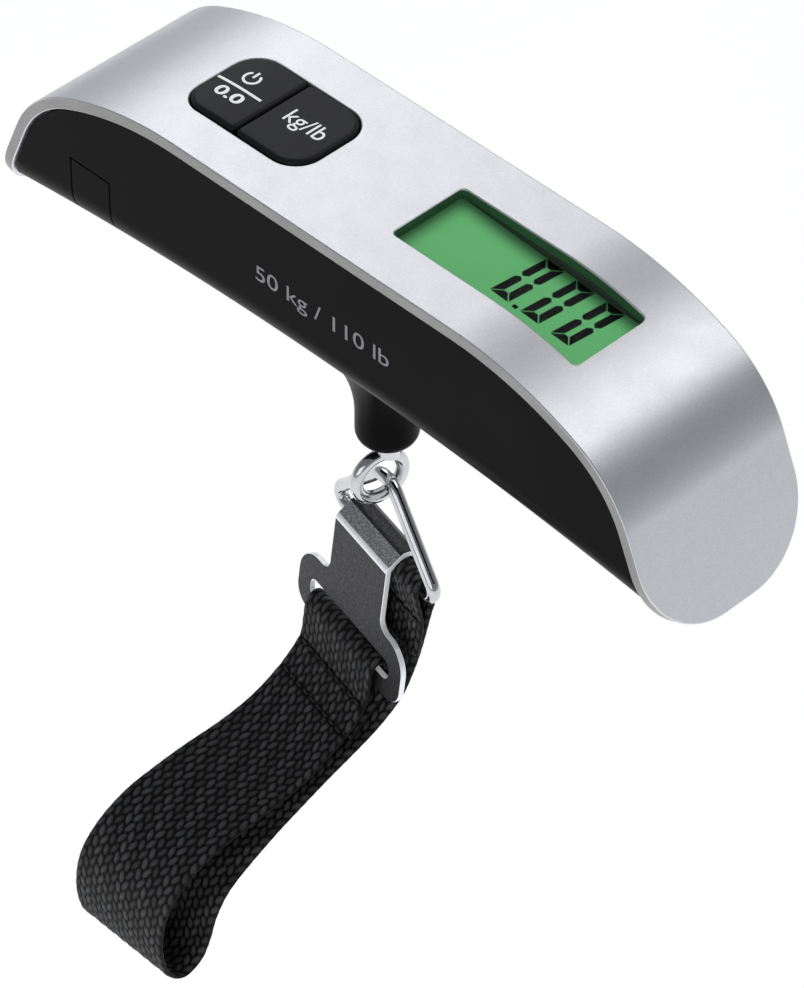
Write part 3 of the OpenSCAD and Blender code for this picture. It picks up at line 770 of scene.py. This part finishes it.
def neck_profile(shrink, low, high, foot=0.0):
    """The neck's outline: straight near its end, a round flare, then a cone into the belly."""
    rise = CONE_Z - FLARE_Z
    across = math.sqrt(FLARE_R**2 - rise**2)
    points = []
    if foot:
        points += [(NECK_R - foot + foot * math.sin(a), -NECK_Z + foot - foot * math.cos(a))
                   for a in (math.radians(90 * i / 8) for i in range(9))]
    else:
        points.append((NECK_R - shrink, low))
    for i in range(20):
        up = rise * i / 19
        if FLARE_Z + up > low + 0.2:
            points.append((NECK_R + FLARE_R - math.sqrt((FLARE_R + shrink) ** 2 - up**2), FLARE_Z + up))
    points.append((NECK_R + FLARE_R - across - shrink + (high - CONE_Z) * rise / across, high))
    return points


def door_space(gap):
    """The room of the door and its latch tab, grown by the gap around them."""
    x, length, far, tab = DOOR
    main = box(x - length / 2 - gap, x + length / 2 + gap, DOOR_NEAR_Y - gap, far + gap,
               UNDER_Z, DOOR_TOP_Z + gap)
    tab_box = box(x - tab / 2 - gap, x + tab / 2 + gap, *TAB_Y, UNDER_Z, TAB_TOP_Z + gap)
    return combined(main, tab_box, "UNION")


def belly_at(x):
    """Height of the belly's lowest line at x."""
    return -BELLY_Z - x * x / (2 * BELLY_R)


def lower_housing_and_door():
    outer = housing_solid(0)
    inner = housing_solid(WALL, 3)
    shell = combined(outer.copy(), inner.copy(), "DIFFERENCE")
    door = combined(shell.copy(), door_space(0), "INTERSECT")
    shell = combined(shell, turned(neck_profile(0, -NECK_Z, NECK_TOP_Z, NECK_END_R)), "UNION")
    shell = combined(shell, turned(neck_profile(NECK_WALL, *NECK_BORE)), "DIFFERENCE")
    bosses = housing_solid(WALL / 2)
    posts = None
    for x, y in SCREWS:
        post = drum(x, y, BOSS_R, *BOSS_Z)
        posts = post if posts is None else combined(posts, post, "UNION")
    shell = combined(shell, combined(bosses, posts, "INTERSECT"), "UNION")
    shell = combined(shell, door_space(DOOR_GAP), "DIFFERENCE")
    shell = combined(shell, drum(0, 0, SHAFT_HOLE_R, -NECK_Z - 1, SHAFT_HOLE_TOP_Z), "DIFFERENCE")
    for x, y in SCREWS:
        shell = combined(shell, drum(x, y, WELL_R, UNDER_Z, belly_at(x) + SCREW_SINK), "DIFFERENCE")
        shell = combined(shell, drum(x, y, SCREW_HOLE_R, *SCREW_HOLE_Z), "DIFFERENCE")
    shell = to_metres(shell)
    door = to_metres(door)
    piece("dark_housing", even_normals(shell, bevel=HOUSING_EDGE), "housing",
          ["housing_black"], ["lower_housing"])
    piece("door_panel", even_normals(door, bevel=HOUSING_EDGE), "door",
          ["housing_black"], ["battery_door"])


def side_marking():
    """Capacity in plain figures on the near side."""
    middle, height, proud = 2.1, -14.9, 0.012
    side = -(COVER_W / 2 - HOUSING_INSET) - proud
    mesh = words("50 kg / 110 lb", 4.1, 1.27)
    mesh.transform(Matrix.Rotation(math.radians(90), 4, "X"))
    mesh.transform(Matrix.Translation((middle, side, height)))
    finished = to_metres(even_normals(mesh))
    return piece("capacity_marking", finished, "housing", ["print_grey"])


# ---------------------------------------------------------------- hanging hardware
HANG = Matrix.Rotation(YAW, 4, "Z")


def tube(path, radii, steps=28):
    """A round bar through points, in millimetres, with its own radius at each."""
    rings = []
    side = None
    for i, p in enumerate(path):
        along = (path[min(i + 1, len(path) - 1)] - path[max(i - 1, 0)]).normalized()
        if side is None:
            side = along.orthogonal().normalized()
        side = (side - along * side.dot(along)).normalized()
        other = along.cross(side)
        rings.append([p + radii[i] * (math.cos(a) * side + math.sin(a) * other)
                      for a in (2 * math.pi * k / steps for k in range(steps))])
    return lofted(rings)


def rolled(path, v):
    """Point and heading where a path of (straight length, bend angle, bend radius) steps has run v."""
    y, z, heading = -(HOOK_R + CLIP_T / 2), 0.0, math.radians(90)
    if v < 0:
        return y, v, heading
    for straight, angle, r in path:
        run = min(v, straight)
        y, z, v = y + run * math.cos(heading), z + run * math.sin(heading), v - run
        turn = min(math.radians(angle), v / r) if v > 0 else 0.0
        y += r * (math.sin(heading) - math.sin(heading - turn))
        z += r * (math.cos(heading - turn) - math.cos(heading))
        heading -= turn
        v -= turn * r
    return y + v * math.cos(heading), z + v * math.sin(heading), heading


def strap_clip():
    """Stamped plate with a slot, folded over at its top into the hook; its sheared edges and first bend are
    painted bright with a glow as painted highlights, and the hook's top behind the bend is painted lighter as
    light from above.
    """
    folds = [(0.1, 48, 0.8), (2.7, 42, 1.0), (0.8, 45, 1.0), (1.7, 45, 1.0)]
    reach = 11.2
    u0, u1 = -9.9, 5.4
    mid = (u0 + u1) / 2 - 0.35
    half, length, top, shoulder, foot, fillet = 15.5, 22.6, -11.2, 5, 3.5, 2.2
    slot_top, slot_h, slot_half = 15.7, 3.6, 11.9

    def arc(cx, cy, r, start, end, steps=12):
        turn = [math.radians(start + (end - start) * i / steps) for i in range(steps + 1)]
        return [(cx + r * math.cos(a), cy + r * math.sin(a)) for a in turn]

    outline = arc(u1 - 1.2, reach - 1.2, 1.2, 0, 90) + arc(u0 + 1.2, reach - 1.2, 1.2, 90, 180)
    outline += arc(u0 - fillet, top + fillet, fillet, 0, -90)
    outline += arc(mid - half + shoulder, top - shoulder, shoulder, 90, 180)
    outline += arc(mid - half + foot, -length + foot, foot, 180, 270)
    outline += arc(mid + half - foot, -length + foot, foot, 270, 360)
    outline += arc(mid + half - shoulder, top - shoulder, shoulder, 0, 90)
    outline += arc(u1 + fillet, top + fillet, fillet, 270, 180)
    slot = rounded_rect(mid - slot_half, mid + slot_half, -slot_top - slot_h, -slot_top, [1.5] * 4, 8)
    flat = plate([outline, slot], CLIP_T, 0.24)
    cuts, at = [], 0.0
    for straight, angle, r in folds:
        bend = math.radians(angle) * r
        cuts += [at + straight + bend * i / 6 for i in range(7)]
        at += straight + bend
    flat = sliced(flat, cuts, 1)
    first_bend = (cuts[0] - 0.05, cuts[6] + 0.05)
    second_bend = cuts[7]
    slots = []
    for face in flat.polygons:
        # slot 2: the hook's top behind the first bend, painted lighter as light from above
        painted_lit_top = 2 if first_bend[1] < face.center.y < second_bend else 0
        # slot 1 on the first bend: a painted highlight
        folded = 1 if first_bend[0] < face.center.y < first_bend[1] else painted_lit_top
        # slot 1 also on the cut edges: a painted highlight with a glow
        slots.append(1 if abs(face.normal.z) < 0.75 else folded)

    def place(u, v, d):
        y, z, heading = rolled(folds, v)
        out = Vector((0, -math.sin(heading), math.cos(heading)))
        return Vector((u, y, z)) + out * d, Matrix.Rotation(heading, 3, "X")

    mesh = mapped(flat, place)
    lean = Matrix.Rotation(-CLIP_LEAN, 4, "X")
    mesh.transform(Matrix.Scale(MM, 4) @ HANG @ Matrix.Translation((0, 0, BAR_Z)) @ lean)
    finishes = ["clip_dark", "clip_edge_painted_light", "clip_painted_light"]
    obj = piece("hook_clip", mesh, "strap", finishes, ["strap_clip"])
    paint(obj, slots)


def smooth_route(step=0.32):
    """The route's spline, as points about one step apart: (forward, height, sideways)."""
    points = [Vector(p) for p in ROUTE]
    fine = []
    for i in range(len(points) - 1):
        p0, p1 = points[max(i - 1, 0)], points[i]
        p2, p3 = points[i + 1], points[min(i + 2, len(points) - 1)]
        for k in range(16):
            t = k / 16
            fine.append(0.5 * (2 * p1 + (p2 - p0) * t + (2 * p0 - 5 * p1 + 4 * p2 - p3) * t * t
                               + (3 * p1 - p0 - 3 * p2 + p3) * t**3))
    fine.append(points[-1])
    run = [0.0]
    for a, b in zip(fine, fine[1:]):
        run.append(run[-1] + (b - a).length)
    count = int(run[-1] / step)
    line, k = [], 0
    for i in range(count + 1):
        want = run[-1] * i / count
        while k < len(run) - 2 and run[k + 1] < want:
            k += 1
        t = (want - run[k]) / (run[k + 1] - run[k])
        line.append(fine[k].lerp(fine[k + 1], t))
    return line, run[-1]


def weave(along, across, face):
    """Height of the woven floats: slanted ovals in columns, each column half a step on."""
    column, pitch, slant = 1.25, 2.1, 0.42
    half_w, half_l = 0.53, 0.50
    k = math.floor(across / column)
    x = across / column - k - 0.5
    lean = slant if k % 2 else -slant
    y = (along + (0.5 * pitch if (k + face) % 2 else 0.0)) / pitch + lean * x
    row = math.floor(y)
    y = y - row - 0.5
    rise = 1 - (x / half_w) ** 2 - (y / half_l) ** 2
    return math.sqrt(rise) * (0.84 + 0.16 * math.sin(17.3 * k + 5.1 * row)) if rise > 0 else 0.0


def seam_runs(line, length):
    """How far along the webbing its rows of stitches lie."""
    runs = []
    for index in SEAMS:
        target = Vector(ROUTE[index])
        nearest = min(range(len(line)), key=lambda i: (line[i] - target).length)
        runs.append(length * nearest / (len(line) - 1))
    return runs


def seam_pull(along, runs):
    """1 on plain webbing, falling to 0 where a row of stitches pulls it in."""
    reach = 0.75
    near = min(abs(along - run) for run in runs)
    return min(near / reach, 1.0) ** 0.8


def strap_twist(n):
    """The lower bend hangs a little askew: shear of the width towards the front."""
    start, run, most = 14, 20, -0.22
    t = min(max((n - start) / run, 0.0), 1.0)
    return most * t * t * (3 - 2 * t)


def strap_webbing():
    line, length = smooth_route()
    runs = seam_runs(line, length)
    cells = 92
    relief, seam_depth = 0.46, 0.2
    edge_r, edge_fade = 0.5, 0.6
    rings, heights = [], []
    for i, p in enumerate(line):
        ahead, behind = line[min(i + 1, len(line) - 1)], line[max(i - 1, 0)]
        t = Vector((ahead.x - behind.x, ahead.y - behind.y)).normalized()
        m = Vector((-t.y, t.x))
        along = length * i / (len(line) - 1)
        ring = []
        for face in (1, -1):
            for k in range(cells + 1):
                across = -STRAP_W / 2 + STRAP_W * k / cells
                if face < 0:
                    across = -across
                edge = STRAP_W / 2 - abs(across)
                body = STRAP_T / 2 * (math.sqrt(max(1 - (1 - min(edge / edge_r, 1)) ** 2, 0.0)))
                pull = seam_pull(along, runs)
                lift = weave(along, across, face > 0) * pull
                heights.append(lift)
                sunk = relief / 2 * (1 - lift) + seam_depth * (1 - pull)
                h = body - sunk * min(edge / edge_fade, 1)
                n = p.x + m.x * h * face + strap_twist(p.x) * across
                z = p.y + m.y * h * face
                ring.append((p.z + across, -n, z))
        rings.append(ring)
    mesh = lofted(rings)
    # the float heights also carry the webbing's painted shade in its gaps
    mesh.attributes.new("float_height", "FLOAT", "POINT").data.foreach_set("value", heights)
    work = bmesh.new()
    work.from_mesh(mesh)
    bmesh.ops.remove_doubles(work, verts=work.verts, dist=0.0005)
    work.to_mesh(mesh)
    work.free()
    mesh.transform(Matrix.Scale(MM, 4) @ HANG)
    mesh.shade_smooth()
    obj = piece("woven_strap", mesh, "strap", ["webbing_black"], ["strap_webbing"])
    return obj


def stitch_rows():
    """Short rounded threads pressed into the doubled webbing."""
    def at(i):
        return Vector(ROUTE[i])

    meshes = []
    for index in SEAMS:
        p = at(index)
        d = (at(index + 1) - at(index - 1)) / 2
        d = Vector((d.x, d.y)).normalized()
        m = Vector((d.y, -d.x)) if d.y > 0 else Vector((-d.y, d.x))
        depth = STRAP_T / 2 - 0.12
        for i in range(-4, 5):
            sideways = p.z + STITCH_PITCH * i
            n, z = p.x + m.x * depth + strap_twist(p.x) * STITCH_PITCH * i, p.y + m.y * depth
            path = [Vector((sideways + u, -n, z)) for u in (-0.66, -0.6, -0.4, 0, 0.4, 0.6, 0.66)]
            meshes.append(tube(path, [0.04, 0.13, 0.2, 0.23, 0.2, 0.13, 0.04], 12))
    mesh = joined(meshes)
    mesh.transform(Matrix.Scale(MM, 4) @ HANG)
    mesh.shade_smooth()
    return piece("strap_threads", mesh, "strap", ["thread_black"], ["strap_stitching"])


# ---------------------------------------------------------------- assembly
top_cover()
key("left_key", KEYS[0] + KEY_GAP, KEY_SPLIT - KEY_GAP / 2, True, "power_key", "key_power")
key("right_key", KEY_SPLIT + KEY_GAP / 2, KEYS[1] - KEY_GAP, False, "unit_key", "key_unit")
print_on_key("power_symbol", power_mark(), -31.9, 2.5, "power_key")
print_on_key("key_bar", [strip(-4.65, 4.65, -0.24, 0.24)], -31.6, -0.4, "power_key")
print_on_key("zero_marking", [words("0.0", 3.1, 1.45, weight=0.07)], -31.5, -2.7, "power_key")
print_on_key("unit_marking", [words("kg/lb", 4.5, 0.95)], -18.0, 0.4, "unit_key")
display_digits()
lower_housing_and_door()
side_marking()
strap_clip()
strap_webbing()
stitch_rows()

for row in frame["record"]["subparts"]:
    node = frame["nodes"][row["node"]]
    finish = "clip_dark" if row["material_slot"] == "clip_steel" else row["material_slot"]
    node.data.materials.clear()
    node.data.materials.append(FINISHES[finish])


# ---------------------------------------------------------------- floor, light and camera
def studio_floor():
    size, clearance = 3.0, 0.16
    level = cad_box[0][2] - clearance
    mesh = bpy.data.meshes.new("floor")
    mesh.from_pydata([(-size, -size, level), (size, -size, level), (size, size, level), (-size, size, level)],
                     [], [(0, 1, 2, 3)])
    mesh.materials.append(FINISHES["floor_white"])
    floor = add_object("studio_floor", mesh)


def lamp(name, place, aim, size, power):
    light = bpy.data.lights.new(name, "AREA")
    light.shape = "RECTANGLE"
    light.size, light.size_y = size
    light.energy = power
    obj = bpy.data.objects.new(name, light)
    obj.location = place
    obj.rotation_euler = (Vector(aim) - Vector(place)).to_track_quat("-Z", "Y").to_euler()
    scene.collection.objects.link(obj)


def camera():
    """The viewing angle: high, from the near side and the display end, through a long lens."""
    azimuth, elevation, roll = (math.radians(a) for a in (45.112, 42.862, 0.408))
    distance, aside, above, lens = 783.41, 1.995, -45.710, 237.54
    back = Vector((math.sin(azimuth) * math.cos(elevation), -math.cos(azimuth) * math.cos(elevation),
                   math.sin(elevation)))
    right = Vector((math.cos(azimuth), math.sin(azimuth), 0))
    up = back.cross(right)
    level = right * math.cos(roll) + up * math.sin(roll)
    upright = up * math.cos(roll) - right * math.sin(roll)
    data = bpy.data.cameras.new("camera")
    data.sensor_fit = "HORIZONTAL"
    data.sensor_width = 36
    data.lens = lens
    data.clip_start = 0.01
    data.clip_end = 20
    obj = bpy.data.objects.new("camera", data)
    turn = Matrix((level, upright, back)).transposed().to_4x4()
    obj.matrix_world = Matrix.Translation((back * distance + level * aside + upright * above) * MM) @ turn
    scene.collection.objects.link(obj)
    scene.camera = obj


studio_floor()
lamp("key_light", (-0.466, 0.365, 0.415), (-0.026, 0, 0), (0.345, 0.5), 0.83)
lamp("shoulder_light", (0.186, 0.36, 0.57), (0.053, 0, -0.006), (0.33, 0.4), 0.80)
lamp("fill_light", (0.25, -0.85, 0.25), (0, 0, -0.06), (0.8, 0.5), 1.2)
world = bpy.data.worlds.new("studio")
world.use_nodes = True
sky = world.node_tree
height = sky.nodes.new("ShaderNodeSeparateXYZ")
sky.links.new(sky.nodes.new("ShaderNodeTexCoord").outputs["Generated"], height.inputs["Vector"])
shade = ramp(sky, height.outputs["Z"], (0.75, 0.77, 0.82), (0.40, 0.41, 0.445), 0.02, 0.45)
sky.links.new(shade, sky.nodes["Background"].inputs["Color"])
sky.nodes["Background"].inputs["Strength"].default_value = 0.45
scene.world = world
scene.view_settings.view_transform = "Standard"
camera()
